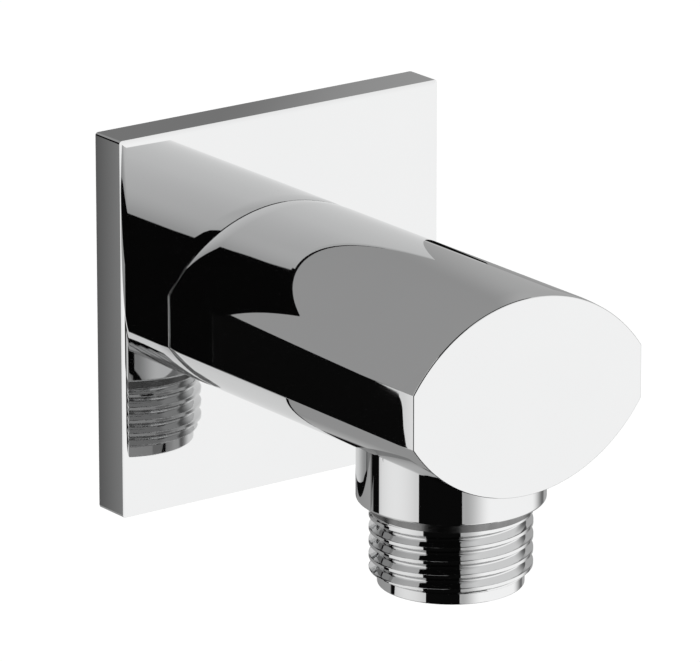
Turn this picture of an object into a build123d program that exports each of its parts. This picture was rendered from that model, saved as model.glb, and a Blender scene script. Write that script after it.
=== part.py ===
from build123d import *
import os

# Wall outlet elbow for a shower hose, with a square wall plate and a check valve in its outlet.
# Sizes are in millimetres. The wall is the plane Y = 0, the elbow stands out of it along -Y
# and +Z is up. The origin is where the inlet axis meets the wall.

# G 1/2 pipe threads, drawn as rings one pitch apart, without their lead.
thread_diameter = 20.7
thread_core_diameter = 18.6
thread_pitch = 1.814
thread_crest_width = 0.5

# Wall plate, a square cover that is hollow at the back.
plate_side = 50.0
plate_thickness = 5.6
plate_face_wall = 2.0
plate_rim_wall = 2.0
plate_edge_bevel = 0.3
plate_hub_wall = 2.0
plate_hub_height = 1.4
plate_hole_clearance = 0.1

# Foam gasket in the hollow of the plate.
gasket_side_clearance = 0.3
gasket_hole_diameter = 34.0

# Body, cut from bar with two curved faces and two side flats.
body_width = 35.8
body_height = 25.8
body_flat_height = 7.0
body_length = 51.9
body_edge_bevel = 0.25
body_rim_bevel = 0.2
socket_wall = 3.85
waterway_diameter = 10.0

# Round spigot on the rear of the body, which centres the plate.
spigot_diameter = 24.0
spigot_length = 4.6
spigot_groove_setback = 2.0

# O-rings of the inlet, drawn as they sit squeezed in their grooves.
ring_groove_depth = 1.2
ring_groove_width = 2.0
ring_width = 1.8

# Wall nipple.
nipple_thread_length = 16.5
nipple_thread_lead = 0.9
nipple_shoulder_gap = 0.2
nipple_spigot_clearance = 0.05
nipple_seat_depth = 21.4
nipple_end_chamfer = 0.6
nipple_bore_diameter = 11.6
nipple_hex = 10.0
nipple_hex_start = 2.0
front_ring_setback = 4.5
ring_spacing = 4.2

# Set screw that locks the body on the nipple.
grub_setback = 8.0
grub_diameter = 5.0
grub_clearance = 0.05
grub_recess = 0.4
grub_hex = 2.5
grub_hex_depth = 2.0
lock_groove_depth = 1.0
lock_point_flat = 0.3

# Outlet nipple: collar, hose thread and a spigot screwed into the body.
outlet_setback = 36.2
collar_diameter = 24.0
collar_drop = 4.2
collar_edge_bevel = 0.8
collar_seat_depth = 5.3
collar_clearance = 0.05
outlet_washer_thickness = 0.8
outlet_washer_clearance = 0.1
outlet_spigot_diameter = 20.0
outlet_spigot_length = 3.8
outlet_spigot_clearance = 0.05
outlet_tap_runout = 0.4
outlet_chamber_diameter = 16.0
outlet_thread_length = 10.0
outlet_pilot_length = 1.2
outlet_bore_diameter = 11.0

# Check valve cartridge in the outlet nipple.
valve_bore_diameter = 15.0
valve_bore_depth = 17.2
valve_clearance = 0.05
housing_length = 14.0
housing_bore_diameter = 11.6
seat_hole_diameter = 8.4
seat_land = 1.2
valve_groove_setback = 6.0
valve_groove_depth = 0.8
valve_groove_width = 1.4
valve_ring_width = 1.25

# Spoked cage that guides the stem.
cage_rim_height = 2.6
cage_spokes = 4
cage_spoke_width = 1.2
cage_spoke_height = 2.2
cage_hub_diameter = 4.8
cage_hub_height = 6.2

# Poppet, its seal and its spring.
seat_gap = 0.2
seal_height = 1.6
seal_edge_height = 0.8
seal_diameter = 10.4
head_thickness = 1.2
neck_diameter = 5.2
cap_diameter = 6.8
cap_height = 1.2
cap_edge_bevel = 0.4
shank_diameter = 4.4
stem_diameter = 3.0
stem_clearance = 0.06
stem_engagement = 2.5
stop_travel = 3.5
spring_diameter = 6.2
spring_wire = 0.5
wire_sides = 6
spring_turns = 4

# Places along the inlet, as distances out of the wall.
plate_floor = plate_thickness - plate_face_wall
spigot_rear = plate_thickness - spigot_length
nipple_shoulder = spigot_rear - nipple_shoulder_gap
nipple_end = plate_thickness + nipple_seat_depth
front_ring_place = nipple_end - front_ring_setback
rear_ring_place = front_ring_place - ring_spacing
grub_reach = plate_thickness + grub_setback
spigot_groove_place = plate_thickness - spigot_groove_setback - ring_groove_width / 2
outlet_reach = plate_thickness + outlet_setback

# Heights along the outlet.
body_underside = -body_height / 2
collar_seat = body_underside + collar_seat_depth
collar_top = collar_seat - outlet_washer_thickness
collar_bottom = body_underside - collar_drop
outlet_spigot_top = collar_top + outlet_spigot_length
thread_bottom = collar_bottom - outlet_thread_length
outlet_end = thread_bottom - outlet_pilot_length
housing_top = outlet_end + valve_bore_depth
housing_bottom = housing_top - housing_length
cage_bottom = housing_bottom - cage_rim_height
spoke_top = cage_bottom + cage_spoke_height
hub_top = cage_bottom + cage_hub_height
seat_top = housing_top - seat_land
seat_bottom = seat_top - (housing_bore_diameter - seat_hole_diameter) / 2
seal_edge_top = seat_top - (seal_diameter / 2 + seat_gap - seat_hole_diameter / 2)
seal_bottom = seal_edge_top - seal_edge_height
seal_top = seal_bottom + seal_height
head_bottom = seal_bottom - head_thickness
shank_bottom = hub_top + stop_travel
stem_bottom = hub_top - stem_engagement

# Radii that two pieces share.
thread_radius = thread_diameter / 2
thread_core_radius = thread_core_diameter / 2
spigot_radius = spigot_diameter / 2
plate_hole_radius = spigot_radius + plate_hole_clearance
plate_hub_radius = plate_hole_radius + plate_hub_wall
nipple_socket_radius = body_height / 2 - socket_wall
nipple_spigot_radius = nipple_socket_radius - nipple_spigot_clearance
collar_radius = collar_diameter / 2
outlet_spigot_radius = outlet_spigot_diameter / 2
valve_bore_radius = valve_bore_diameter / 2
housing_radius = valve_bore_radius - valve_clearance
housing_bore_radius = housing_bore_diameter / 2
hub_radius = cage_hub_diameter / 2
neck_radius = neck_diameter / 2
seal_radius = seal_diameter / 2
spring_radius = spring_diameter / 2
wire_radius = spring_wire / 2

# Sketch planes: radius and distance out of the wall, then radius and height at the outlet.
inlet_section = Plane(origin=(0, 0, 0), x_dir=(1, 0, 0), z_dir=(0, 0, -1))
outlet_section = Plane.XZ.offset(outlet_reach)
outlet_axis = Axis((0, -outlet_reach, 0), (0, 0, 1))
spigot_entry = Plane(origin=(0, -spigot_rear, 0), x_dir=(1, 0, 0), z_dir=(0, 1, 0))
outlet_entry = Plane(origin=(0, -outlet_reach, body_underside), x_dir=(1, 0, 0), z_dir=(0, 0, -1))
grub_entry = Plane(origin=(0, -grub_reach, body_underside), x_dir=(1, 0, 0), z_dir=(0, 0, -1))


def turned(section, axis, outline):
    """A turned piece: the closed outline in the section plane, carried round the axis."""
    with BuildPart() as piece:
        with BuildSketch(section):
            with BuildLine():
                Polyline(*outline, close=True)
            make_face()
        revolve(axis=axis)
    return piece.part


def thread_outline(start, end):
    """The outline of a thread: as many V grooves as there are whole pitches, then a plain neck."""
    groove_half = (thread_pitch - thread_crest_width) / 2
    outline = [(thread_radius, start)]
    for turn in range(int((end - start) // thread_pitch)):
        root = start + (turn + 1 / 2) * thread_pitch
        outline.append((thread_radius, root - groove_half))
        outline.append((thread_core_radius, root))
        outline.append((thread_radius, root + groove_half))
    outline.append((thread_radius, end))
    return outline


def squeezed_ring(section, axis, inner_radius, outer_radius, place, width):
    """A sealing ring as it fills its groove, pressed flat between the floor and the bore."""
    with BuildPart() as ring:
        with BuildSketch(section):
            with Locations(((inner_radius + outer_radius) / 2, place)):
                Rectangle(outer_radius - inner_radius, width)
        revolve(axis=axis)
    return ring.part


def circle_edges(part, radius):
    """The circular edges of one radius, lowest first."""
    circles = part.edges().filter_by(GeomType.CIRCLE)
    return circles.filter_by(lambda edge: abs(edge.radius - radius) < 1e-6).sort_by(Axis.Z)


# Wall plate: a shallow square box, open to the wall, with a hub round its centre hole.
with BuildPart() as escutcheon:
    with BuildSketch(Plane.XZ):
        Rectangle(plate_side, plate_side)
    extrude(amount=plate_thickness)
    chamfer(escutcheon.edges().filter_by(Axis.Y), length=plate_edge_bevel)
    chamfer(escutcheon.faces().sort_by(Axis.Y)[0].edges(), length=plate_edge_bevel)
    with BuildSketch(Plane.XZ):
        Rectangle(plate_side - 2 * plate_rim_wall, plate_side - 2 * plate_rim_wall)
    extrude(amount=plate_floor, mode=Mode.SUBTRACT)
    with BuildSketch(Plane.XZ.offset(plate_floor - plate_hub_height)):
        Circle(plate_hub_radius)
    extrude(amount=plate_hub_height)
    with BuildSketch(Plane.XZ):
        Circle(plate_hole_radius)
    extrude(amount=plate_thickness, mode=Mode.SUBTRACT)

# Gasket: a square of foam with a round hole, flush with the rim of the plate.
with BuildPart() as escutcheon_gasket:
    with BuildSketch(Plane.XZ):
        gasket_side = plate_side - 2 * (plate_rim_wall + gasket_side_clearance)
        Rectangle(gasket_side, gasket_side)
        Circle(gasket_hole_diameter / 2, mode=Mode.SUBTRACT)
    extrude(amount=plate_floor)

# Body: the bar section carried forward, then the rear spigot, the bores and the screw hole.
with BuildPart() as elbow_body:
    with BuildSketch(Plane.XZ.offset(plate_thickness)):
        with BuildLine():
            left_top = (-body_width / 2, body_flat_height / 2)
            right_top = (body_width / 2, body_flat_height / 2)
            right_bottom = (body_width / 2, -body_flat_height / 2)
            left_bottom = (-body_width / 2, -body_flat_height / 2)
            ThreePointArc(left_top, (0, body_height / 2), right_top)
            Line(right_top, right_bottom)
            ThreePointArc(right_bottom, (0, -body_height / 2), left_bottom)
            Line(left_bottom, left_top)
        make_face()
    extrude(amount=body_length)
    chamfer(elbow_body.edges().filter_by(Axis.Y), length=body_edge_bevel)
    chamfer(elbow_body.faces().sort_by(Axis.Y)[0].edges(), length=body_rim_bevel)
    chamfer(elbow_body.faces().sort_by(Axis.Y)[-1].edges(), length=body_rim_bevel)
    with BuildSketch(inlet_section):
        with BuildLine():
            groove_floor = spigot_radius - ring_groove_depth
            groove_rear = spigot_groove_place - ring_groove_width / 2
            groove_front = spigot_groove_place + ring_groove_width / 2
            Polyline(
                (0, spigot_rear),
                (spigot_radius, spigot_rear),
                (spigot_radius, groove_rear),
                (groove_floor, groove_rear),
                (groove_floor, groove_front),
                (spigot_radius, groove_front),
                (spigot_radius, plate_thickness),
                (0, plate_thickness),
                close=True,
            )
        make_face()
    revolve(axis=Axis.Y)
    with Locations(spigot_entry):
        Hole(radius=nipple_socket_radius, depth=nipple_end - spigot_rear)
        Hole(radius=waterway_diameter / 2, depth=outlet_reach - spigot_rear)
    with Locations(outlet_entry):
        CounterBoreHole(
            radius=outlet_spigot_radius + outlet_spigot_clearance,
            counter_bore_radius=collar_radius + collar_clearance,
            counter_bore_depth=collar_seat_depth,
            depth=outlet_spigot_top + outlet_tap_runout - body_underside,
        )
        Hole(radius=outlet_chamber_diameter / 2, depth=waterway_diameter / 2 - body_underside)
    with Locations(grub_entry):
        Hole(radius=grub_diameter / 2 + grub_clearance, depth=-body_underside)

# Plate O-ring: between the groove of the rear spigot and the hub of the plate.
escutcheon_o_ring = squeezed_ring(
    inlet_section,
    Axis.Y,
    spigot_radius - ring_groove_depth,
    plate_hole_radius,
    spigot_groove_place,
    ring_width,
)

# Wall nipple: thread for the wall fitting, shoulder, spigot with a lock groove and two ring grooves.
with BuildPart() as wall_nipple:
    with BuildSketch(inlet_section):
        with BuildLine():
            ring_floor = nipple_spigot_radius - ring_groove_depth
            lock_floor = nipple_spigot_radius - lock_groove_depth
            Polyline(
                (0, -nipple_thread_length),
                (thread_radius - nipple_thread_lead, -nipple_thread_length),
                *thread_outline(nipple_thread_lead - nipple_thread_length, nipple_shoulder),
                (nipple_spigot_radius, nipple_shoulder),
                (nipple_spigot_radius, grub_reach - lock_groove_depth),
                (lock_floor, grub_reach),
                (nipple_spigot_radius, grub_reach + lock_groove_depth),
                (nipple_spigot_radius, rear_ring_place - ring_groove_width / 2),
                (ring_floor, rear_ring_place - ring_groove_width / 2),
                (ring_floor, rear_ring_place + ring_groove_width / 2),
                (nipple_spigot_radius, rear_ring_place + ring_groove_width / 2),
                (nipple_spigot_radius, front_ring_place - ring_groove_width / 2),
                (ring_floor, front_ring_place - ring_groove_width / 2),
                (ring_floor, front_ring_place + ring_groove_width / 2),
                (nipple_spigot_radius, front_ring_place + ring_groove_width / 2),
                (nipple_spigot_radius, nipple_end - nipple_end_chamfer),
                (nipple_spigot_radius - nipple_end_chamfer, nipple_end),
                (0, nipple_end),
                close=True,
            )
        make_face()
    revolve(axis=Axis.Y)
    with BuildSketch(Plane.XZ.offset(-nipple_thread_length)):
        RegularPolygon(radius=nipple_hex / 2, side_count=6, major_radius=False)
    extrude(amount=nipple_thread_length + nipple_end, mode=Mode.SUBTRACT)
    with BuildSketch(Plane.XZ.offset(-nipple_hex_start)):
        Circle(nipple_bore_diameter / 2)
    extrude(amount=nipple_hex_start + nipple_end, mode=Mode.SUBTRACT)

# Nipple O-rings: two seals between the spigot and the socket of the body.
nipple_o_ring_rear = squeezed_ring(
    inlet_section,
    Axis.Y,
    nipple_spigot_radius - ring_groove_depth,
    nipple_socket_radius,
    rear_ring_place,
    ring_width,
)
nipple_o_ring_front = squeezed_ring(
    inlet_section,
    Axis.Y,
    nipple_spigot_radius - ring_groove_depth,
    nipple_socket_radius,
    front_ring_place,
    ring_width,
)

# Set screw: its cone point sits in the lock groove, and its hex socket faces down.
with BuildPart() as grub_screw:
    with BuildSketch(Plane.XZ.offset(grub_reach)):
        with BuildLine():
            point_height = lock_groove_depth - nipple_spigot_radius - lock_point_flat
            cone_base = point_height - (grub_diameter / 2 - lock_point_flat)
            screw_bottom = body_underside + grub_recess
            Polyline(
                (0, point_height),
                (lock_point_flat, point_height),
                (grub_diameter / 2, cone_base),
                (grub_diameter / 2, screw_bottom),
                (0, screw_bottom),
                close=True,
            )
        make_face()
    revolve(axis=Axis((0, -grub_reach, 0), (0, 0, 1)))
    with BuildSketch(Plane.XY.offset(screw_bottom)):
        with Locations((0, -grub_reach)):
            RegularPolygon(radius=grub_hex / 2, side_count=6, major_radius=False)
    extrude(amount=grub_hex_depth, mode=Mode.SUBTRACT)

# Outlet washer: a flat seal between the collar and its seat in the body.
outlet_washer = turned(
    outlet_section,
    outlet_axis,
    [
        (outlet_spigot_radius + outlet_washer_clearance, collar_top),
        (collar_radius - outlet_washer_clearance, collar_top),
        (collar_radius - outlet_washer_clearance, collar_seat),
        (outlet_spigot_radius + outlet_washer_clearance, collar_seat),
    ],
)

# Outlet nipple: spigot, collar with a broken lower edge, hose thread and plain pilot end.
with BuildPart() as outlet_nipple:
    with BuildSketch(outlet_section):
        with BuildLine():
            Polyline(
                (valve_bore_radius, outlet_end),
                (thread_core_radius, outlet_end),
                (thread_core_radius, thread_bottom),
                *thread_outline(thread_bottom + thread_radius - thread_core_radius, collar_bottom),
                (collar_radius, collar_bottom),
                (collar_radius, collar_top),
                (outlet_spigot_radius, collar_top),
                (outlet_spigot_radius, outlet_spigot_top),
                (outlet_bore_diameter / 2, outlet_spigot_top),
                (outlet_bore_diameter / 2, housing_top),
                (valve_bore_radius, housing_top),
                close=True,
            )
        make_face()
    revolve(axis=outlet_axis)
    chamfer(circle_edges(outlet_nipple, collar_radius)[0], length=collar_edge_bevel)

# Check valve housing: conical seat at the top, groove for its seal, open at the bottom.
check_valve_housing = turned(
    outlet_section,
    outlet_axis,
    [
        (seat_hole_diameter / 2, housing_top),
        (housing_radius, housing_top),
        (housing_radius, housing_top - valve_groove_setback + valve_groove_width / 2),
        (housing_radius - valve_groove_depth, housing_top - valve_groove_setback + valve_groove_width / 2),
        (housing_radius - valve_groove_depth, housing_top - valve_groove_setback - valve_groove_width / 2),
        (housing_radius, housing_top - valve_groove_setback - valve_groove_width / 2),
        (housing_radius, housing_bottom),
        (housing_bore_radius, housing_bottom),
        (housing_bore_radius, seat_bottom),
        (seat_hole_diameter / 2, seat_top),
    ],
)

# Check valve O-ring: between the groove of the housing and the bore of the outlet nipple.
check_valve_o_ring = squeezed_ring(
    outlet_section,
    outlet_axis,
    housing_radius - valve_groove_depth,
    valve_bore_radius,
    housing_top - valve_groove_setback,
    valve_ring_width,
)

# Cage: a rim below the housing, spokes across it and a hub that guides the stem.
with BuildPart() as check_valve_cage:
    with BuildSketch(Plane.XY.offset(cage_bottom)):
        with Locations((0, -outlet_reach)):
            Circle(housing_radius)
            Circle(housing_bore_radius, mode=Mode.SUBTRACT)
    extrude(amount=cage_rim_height)
    with BuildSketch(Plane.XY.offset(cage_bottom)):
        with Locations((0, -outlet_reach)):
            with PolarLocations(radius=(hub_radius + housing_bore_radius) / 2, count=cage_spokes):
                Rectangle(housing_radius - hub_radius, cage_spoke_width)
    extrude(amount=cage_spoke_height)
    with BuildSketch(Plane.XY.offset(cage_bottom)):
        with Locations((0, -outlet_reach)):
            Circle(hub_radius)
    extrude(amount=cage_hub_height)
    with BuildSketch(Plane.XY.offset(cage_bottom)):
        with Locations((0, -outlet_reach)):
            Circle(stem_diameter / 2 + stem_clearance)
    extrude(amount=cage_hub_height, mode=Mode.SUBTRACT)

# Poppet: cap and neck that hold the seal, head, stop shank and guided stem.
with BuildPart() as check_valve_poppet:
    with BuildSketch(outlet_section):
        with BuildLine():
            Polyline(
                (0, seal_top + cap_height),
                (cap_diameter / 2, seal_top + cap_height),
                (cap_diameter / 2, seal_top),
                (neck_radius, seal_top),
                (neck_radius, seal_bottom),
                (seal_radius, seal_bottom),
                (seal_radius, head_bottom),
                (shank_diameter / 2, head_bottom),
                (shank_diameter / 2, shank_bottom),
                (stem_diameter / 2, shank_bottom),
                (stem_diameter / 2, stem_bottom),
                (0, stem_bottom),
                close=True,
            )
        make_face()
    revolve(axis=outlet_axis)
    chamfer(circle_edges(check_valve_poppet, cap_diameter / 2)[-1], length=cap_edge_bevel)

# Poppet seal: a rubber ring whose conical side meets the seat.
poppet_seal = turned(
    outlet_section,
    outlet_axis,
    [
        (neck_radius, seal_bottom),
        (seal_radius, seal_bottom),
        (seal_radius, seal_edge_top),
        (seal_radius - (seal_top - seal_edge_top), seal_top),
        (neck_radius, seal_top),
    ],
)

# Spring: a wire wound from the spokes of the cage up to the head of the poppet.
with BuildPart() as check_valve_spring:
    with BuildLine(Plane(origin=(0, -outlet_reach, spoke_top + wire_radius))):
        winding_height = head_bottom - spoke_top - spring_wire
        wire_path = Helix(pitch=winding_height / spring_turns, height=winding_height, radius=spring_radius)
    with BuildSketch(Plane(origin=wire_path @ 0, z_dir=wire_path % 0)):
        RegularPolygon(radius=wire_radius, side_count=wire_sides)
    sweep(path=wire_path, is_frenet=True)

pieces = {
    "escutcheon": escutcheon.part,
    "escutcheon_gasket": escutcheon_gasket.part,
    "elbow_body": elbow_body.part,
    "escutcheon_o_ring": escutcheon_o_ring,
    "wall_nipple": wall_nipple.part,
    "nipple_o_ring_rear": nipple_o_ring_rear,
    "nipple_o_ring_front": nipple_o_ring_front,
    "grub_screw": grub_screw.part,
    "outlet_washer": outlet_washer,
    "outlet_nipple": outlet_nipple.part,
    "check_valve_housing": check_valve_housing,
    "check_valve_o_ring": check_valve_o_ring,
    "check_valve_cage": check_valve_cage.part,
    "check_valve_poppet": check_valve_poppet.part,
    "poppet_seal": poppet_seal,
    "check_valve_spring": check_valve_spring.part,
}
os.makedirs("parts", exist_ok=True)
for name, piece in pieces.items():
    piece.label = name
    export_step(piece, f"parts/{name}.step")
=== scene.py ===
import bpy
import numpy as np
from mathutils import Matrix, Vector


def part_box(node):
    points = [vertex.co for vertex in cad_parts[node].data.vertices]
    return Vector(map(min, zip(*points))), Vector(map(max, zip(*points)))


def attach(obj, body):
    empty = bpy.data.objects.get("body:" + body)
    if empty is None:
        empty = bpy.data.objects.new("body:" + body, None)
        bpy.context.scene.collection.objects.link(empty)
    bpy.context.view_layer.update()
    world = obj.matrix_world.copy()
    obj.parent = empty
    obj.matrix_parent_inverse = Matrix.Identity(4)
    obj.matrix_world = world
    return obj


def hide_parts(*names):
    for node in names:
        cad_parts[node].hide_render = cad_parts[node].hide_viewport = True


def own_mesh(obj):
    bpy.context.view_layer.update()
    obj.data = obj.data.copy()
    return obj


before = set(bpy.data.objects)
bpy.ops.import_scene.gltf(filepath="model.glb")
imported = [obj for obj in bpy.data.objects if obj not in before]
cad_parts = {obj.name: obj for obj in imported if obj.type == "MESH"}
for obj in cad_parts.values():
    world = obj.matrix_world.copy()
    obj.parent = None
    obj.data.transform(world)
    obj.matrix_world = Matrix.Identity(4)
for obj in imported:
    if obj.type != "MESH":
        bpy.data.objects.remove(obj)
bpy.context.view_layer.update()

# Wall nipple: a turned brass tube, left unplated because the plate hides it. Its pipe thread is screwed
# into the fitting in the wall with a hex key, and its smooth spigot carries the body.

MM = 0.001
OUT_OF_WALL = np.array([[1, 0, 0], [0, 0, 1], [0, -1, 0]], float)
WALL_AXIS = np.zeros(3)


def node_box(node):
    """A node's lowest and highest corners in millimetres."""
    low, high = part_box(node)
    return np.array(low) / MM, np.array(high) / MM


def rounded_outline(corners, rounds, steps):
    """A closed outline whose corners are arcs, as points and normals.

    At a corner that turns by an angle t, an arc of radius r starts r * tan(t / 2) before the corner, and its
    normal turns evenly from the side before to the side after. The outline runs with the solid on its left,
    so a side's normal is its direction turned a quarter to the right.
    """
    corner = np.array(corners, float)
    before = corner - np.roll(corner, 1, 0)
    before = before / np.linalg.norm(before, axis=1, keepdims=True)
    after = np.roll(before, -1, 0)
    turn = np.arctan2(before[:, 0] * after[:, 1] - before[:, 1] * after[:, 0], (before * after).sum(1))
    radius = np.broadcast_to(np.array(rounds, float), len(corner))
    start = corner - before * (radius * np.tan(np.abs(turn) / 2))[:, None]
    angle = np.arctan2(-before[:, 0], before[:, 1])[:, None] + turn[:, None] * np.linspace(0, 1, steps)
    normal = np.stack([np.cos(angle), np.sin(angle)], -1)
    swing = (np.sign(turn) * radius)[:, None, None]
    point = start[:, None] + swing * (normal - normal[:, :1])
    return point.reshape(-1, 2), normal.reshape(-1, 2)


def full_turn(columns):
    """Evenly spaced angles once round."""
    return np.arange(columns) * (2 * np.pi / columns)


def turned_rows(outline, theta):
    """An outline of radius and rise carried round an axis: at each of its points and each angle the radius,
    the rise, and the normal's parts outwards, round the axis and along it."""
    point, normal = outline
    columns = np.array([point[:, 0], point[:, 1], normal[:, 0], 0 * normal[:, 0], normal[:, 1]])
    return np.repeat(columns[:, :, None], len(theta), 2)


def thread_rows(rise, theta, pitch, start, crest, depth, limit):
    """Rows of a right-hand pipe thread, in the order of turned_rows.

    One pitch is a 55 degree V: an arc within half_arc of the crest, its mirror at the root and a straight
    flank between, moved along by one pitch in each turn. A crest stands at start where the angle is zero,
    the groove is depth deep under the crest radius, limit cuts the crests flat, and the normals lean back by
    the slopes of the radius along and round.
    """
    flank = np.radians(27.5)
    arc = 0.137329
    tall = 0.640327
    half_arc = arc * np.cos(flank)
    off_crest = np.abs(((rise[:, None] - start) / pitch - theta / (2 * np.pi) + 0.5) % 1 - 0.5)
    off_root = 0.5 - off_crest
    at_crest = tall - arc + np.sqrt(np.maximum(arc ** 2 - off_crest ** 2, 0))
    at_root = arc - np.sqrt(np.maximum(arc ** 2 - off_root ** 2, 0))
    on_flank = tall / 2 + (0.25 - off_crest) / np.tan(flank)
    below_crest = np.where(off_root < half_arc, at_root, on_flank)
    height = np.where(off_crest < half_arc, at_crest, below_crest) / tall
    radius = np.minimum(crest - depth[:, None] * (1 - height), limit[:, None])
    along = np.gradient(radius, rise, axis=0)
    round_it = (np.roll(radius, -1, 1) - np.roll(radius, 1, 1)) / (2 * (theta[1] - theta[0])) / radius
    size = np.sqrt(1 + along ** 2 + round_it ** 2)
    level = np.repeat(rise[:, None], len(theta), 1)
    return np.array([radius, level, 1 / size, -round_it / size, -along / size])


def grid_faces(index, closed_rows=False, closed_columns=True):
    """Four-cornered faces between neighbours in a grid of point numbers that may close on itself."""
    if closed_columns:
        index = np.concatenate([index, index[:, :1]], 1)
    if closed_rows:
        index = np.concatenate([index, index[:1]], 0)
    return np.stack([index[:-1, :-1], index[:-1, 1:], index[1:, 1:], index[1:, :-1]], -1).reshape(-1, 4)


def new_object(name, points, faces, finish):
    """A new object with one finish, from points in millimetres and the point numbers of its faces."""
    mesh = bpy.data.meshes.new(name)
    mesh.from_pydata((points.reshape(-1, 3) * MM).tolist(), [], faces)
    mesh.materials.append(finish)
    made = bpy.data.objects.new(name, mesh)
    bpy.context.scene.collection.objects.link(made)
    return made


def make_piece(name, points, normals, face_groups, finish, body):
    """A smooth piece that rides on a body. A face whose own direction, the cross product of its sides, goes
    against the sum of its corners' normals is turned round, so that all look outwards."""
    points = points.reshape(-1, 3)
    normals = normals.reshape(-1, 3)
    faces = []
    for group in face_groups:
        corner = points[group]
        looks = np.cross(corner[:, 1] - corner[:, 0], corner[:, 2] - corner[:, 0])
        looks += np.cross(corner[:, 2] - corner[:, 0], corner[:, -1] - corner[:, 0])
        wrong = (looks * normals[group].sum(1)).sum(1) < 0
        faces += np.where(wrong[:, None], group[:, ::-1], group).tolist()
    piece = new_object(name, points, faces, finish)
    piece.data.polygons.foreach_set("use_smooth", np.ones(len(faces), bool))
    piece.data.normals_split_custom_set_from_vertices(normals.tolist())
    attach(piece, body)
    return piece


def turned_piece(name, rows, theta, axes, centre, finish, body):
    """A piece whose rows of radius and rise go round the third of the axes, through centre, and close."""
    radius, rise, out, round_it, up = rows[..., None]
    outwards = np.cos(theta)[:, None] * axes[0] + np.sin(theta)[:, None] * axes[1]
    sideways = np.cos(theta)[:, None] * axes[1] - np.sin(theta)[:, None] * axes[0]
    points = centre + radius * outwards + rise * axes[2]
    normals = out * outwards + round_it * sideways + up * axes[2]
    faces = grid_faces(np.arange(radius.size).reshape(radius.shape[:2]), closed_rows=True)
    return make_piece(name, points, normals, [faces], finish, body)


def mask_group(name, scales):
    """A new shader node group with the scales as inputs and two masks, Cloud and Grain, as outputs."""
    group = bpy.data.node_groups.new(name, "ShaderNodeTree")
    for socket in scales:
        group.interface.new_socket(socket, in_out="INPUT", socket_type="NodeSocketFloat")
    for socket in ("Cloud", "Grain"):
        group.interface.new_socket(socket, in_out="OUTPUT", socket_type="NodeSocketFloat")
    for kind in ("ShaderNodeTexCoord", "NodeGroupInput", "NodeGroupOutput"):
        group.nodes.new(kind)
    return group


def add_texture(group, kind, scale, mask, result="Fac"):
    """Adds a texture on Object coordinates to a mask group: an input scales it, and its result is a mask."""
    nodes = group.nodes
    texture = nodes.new(kind)
    group.links.new(nodes["Texture Coordinate"].outputs["Object"], texture.inputs["Vector"])
    group.links.new(nodes["Group Input"].outputs[scale], texture.inputs["Scale"])
    group.links.new(texture.outputs[result], nodes["Group Output"].inputs[mask])
    return texture


def finish_of(name, group, scales, dark, light, smooth, rough, relief, metallic=0.0):
    """A finish whose colour runs from dark to light with the group's Cloud, and whose roughness, from smooth
    to rough, and bump, of the relief height in metres, follow its Grain."""
    material = bpy.data.materials.new(name)
    material.use_nodes = True
    nodes = material.node_tree.nodes
    links = material.node_tree.links
    shader = nodes["Principled BSDF"]
    shader.inputs["Metallic"].default_value = metallic
    masks = nodes.new("ShaderNodeGroup")
    masks.node_tree = group
    for socket, scale in scales.items():
        masks.inputs[socket].default_value = scale
    # A mix of colours has its share in socket 0, its colours in 6 and 7 and its result in 2.
    tone = nodes.new("ShaderNodeMix")
    tone.data_type = "RGBA"
    tone.inputs[6].default_value = (*dark, 1)
    tone.inputs[7].default_value = (*light, 1)
    links.new(masks.outputs["Cloud"], tone.inputs[0])
    links.new(tone.outputs[2], shader.inputs["Base Color"])
    sheen = nodes.new("ShaderNodeMapRange")
    sheen.inputs["To Min"].default_value = smooth
    sheen.inputs["To Max"].default_value = rough
    links.new(masks.outputs["Grain"], sheen.inputs["Value"])
    links.new(sheen.outputs["Result"], shader.inputs["Roughness"])
    bump = nodes.new("ShaderNodeBump")
    bump.inputs["Distance"].default_value = relief
    links.new(masks.outputs["Grain"], bump.inputs["Height"])
    links.new(bump.outputs["Normal"], shader.inputs["Normal"])
    return material


# Turning leaves fine rings across the axis of the bare brass, and its tone drifts in broad clouds.
rings = mask_group("turning_rings", ["Cloud Scale", "Ring Scale"])
add_texture(rings, "ShaderNodeTexNoise", "Cloud Scale", "Cloud")
ring_wave = add_texture(rings, "ShaderNodeTexWave", "Ring Scale", "Grain")
ring_wave.bands_direction = "Y"
ring_wave.inputs["Distortion"].default_value = 1.5
ring_wave.inputs["Detail"].default_value = 3.0
brass = finish_of(
    "turned_brass", rings, {"Cloud Scale": 90.0, "Ring Scale": 700.0},
    dark=(0.62, 0.45, 0.20), light=(0.78, 0.60, 0.31), smooth=0.18, rough=0.34, relief=4e-6, metallic=1.0)

PIPE_PITCH = 1.814
PIPE_CREST = 10.478
PIPE_THREAD_DEPTH = 1.162
THREAD_STEPS = 190
nipple_low, nipple_high = node_box("wall_nipple")
nipple_crest = nipple_high[0]
nipple_wall_end = -nipple_high[1]
nipple_body_end = -nipple_low[1]
nipple_mouth_bevel = 0.9
nipple_mouth = nipple_crest - nipple_mouth_bevel
nipple_thread_end = 0.8
nipple_spigot = 9.0
lock_groove_at = 13.6
lock_groove_depth = 1.0
ring_grooves_at = (18.3, 22.5)
ring_groove_half = 1.0
ring_groove_floor = 7.8
nipple_bore = 5.8
hex_half = 5.0
hex_end = -2.0
nipple_end_bevel = 0.6
groove_corners = [
    (radius, at + side)
    for at in ring_grooves_at
    for radius, side in (
        (nipple_spigot, -ring_groove_half),
        (ring_groove_floor, -ring_groove_half),
        (ring_groove_floor, ring_groove_half),
        (nipple_spigot, ring_groove_half),
    )
]
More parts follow.
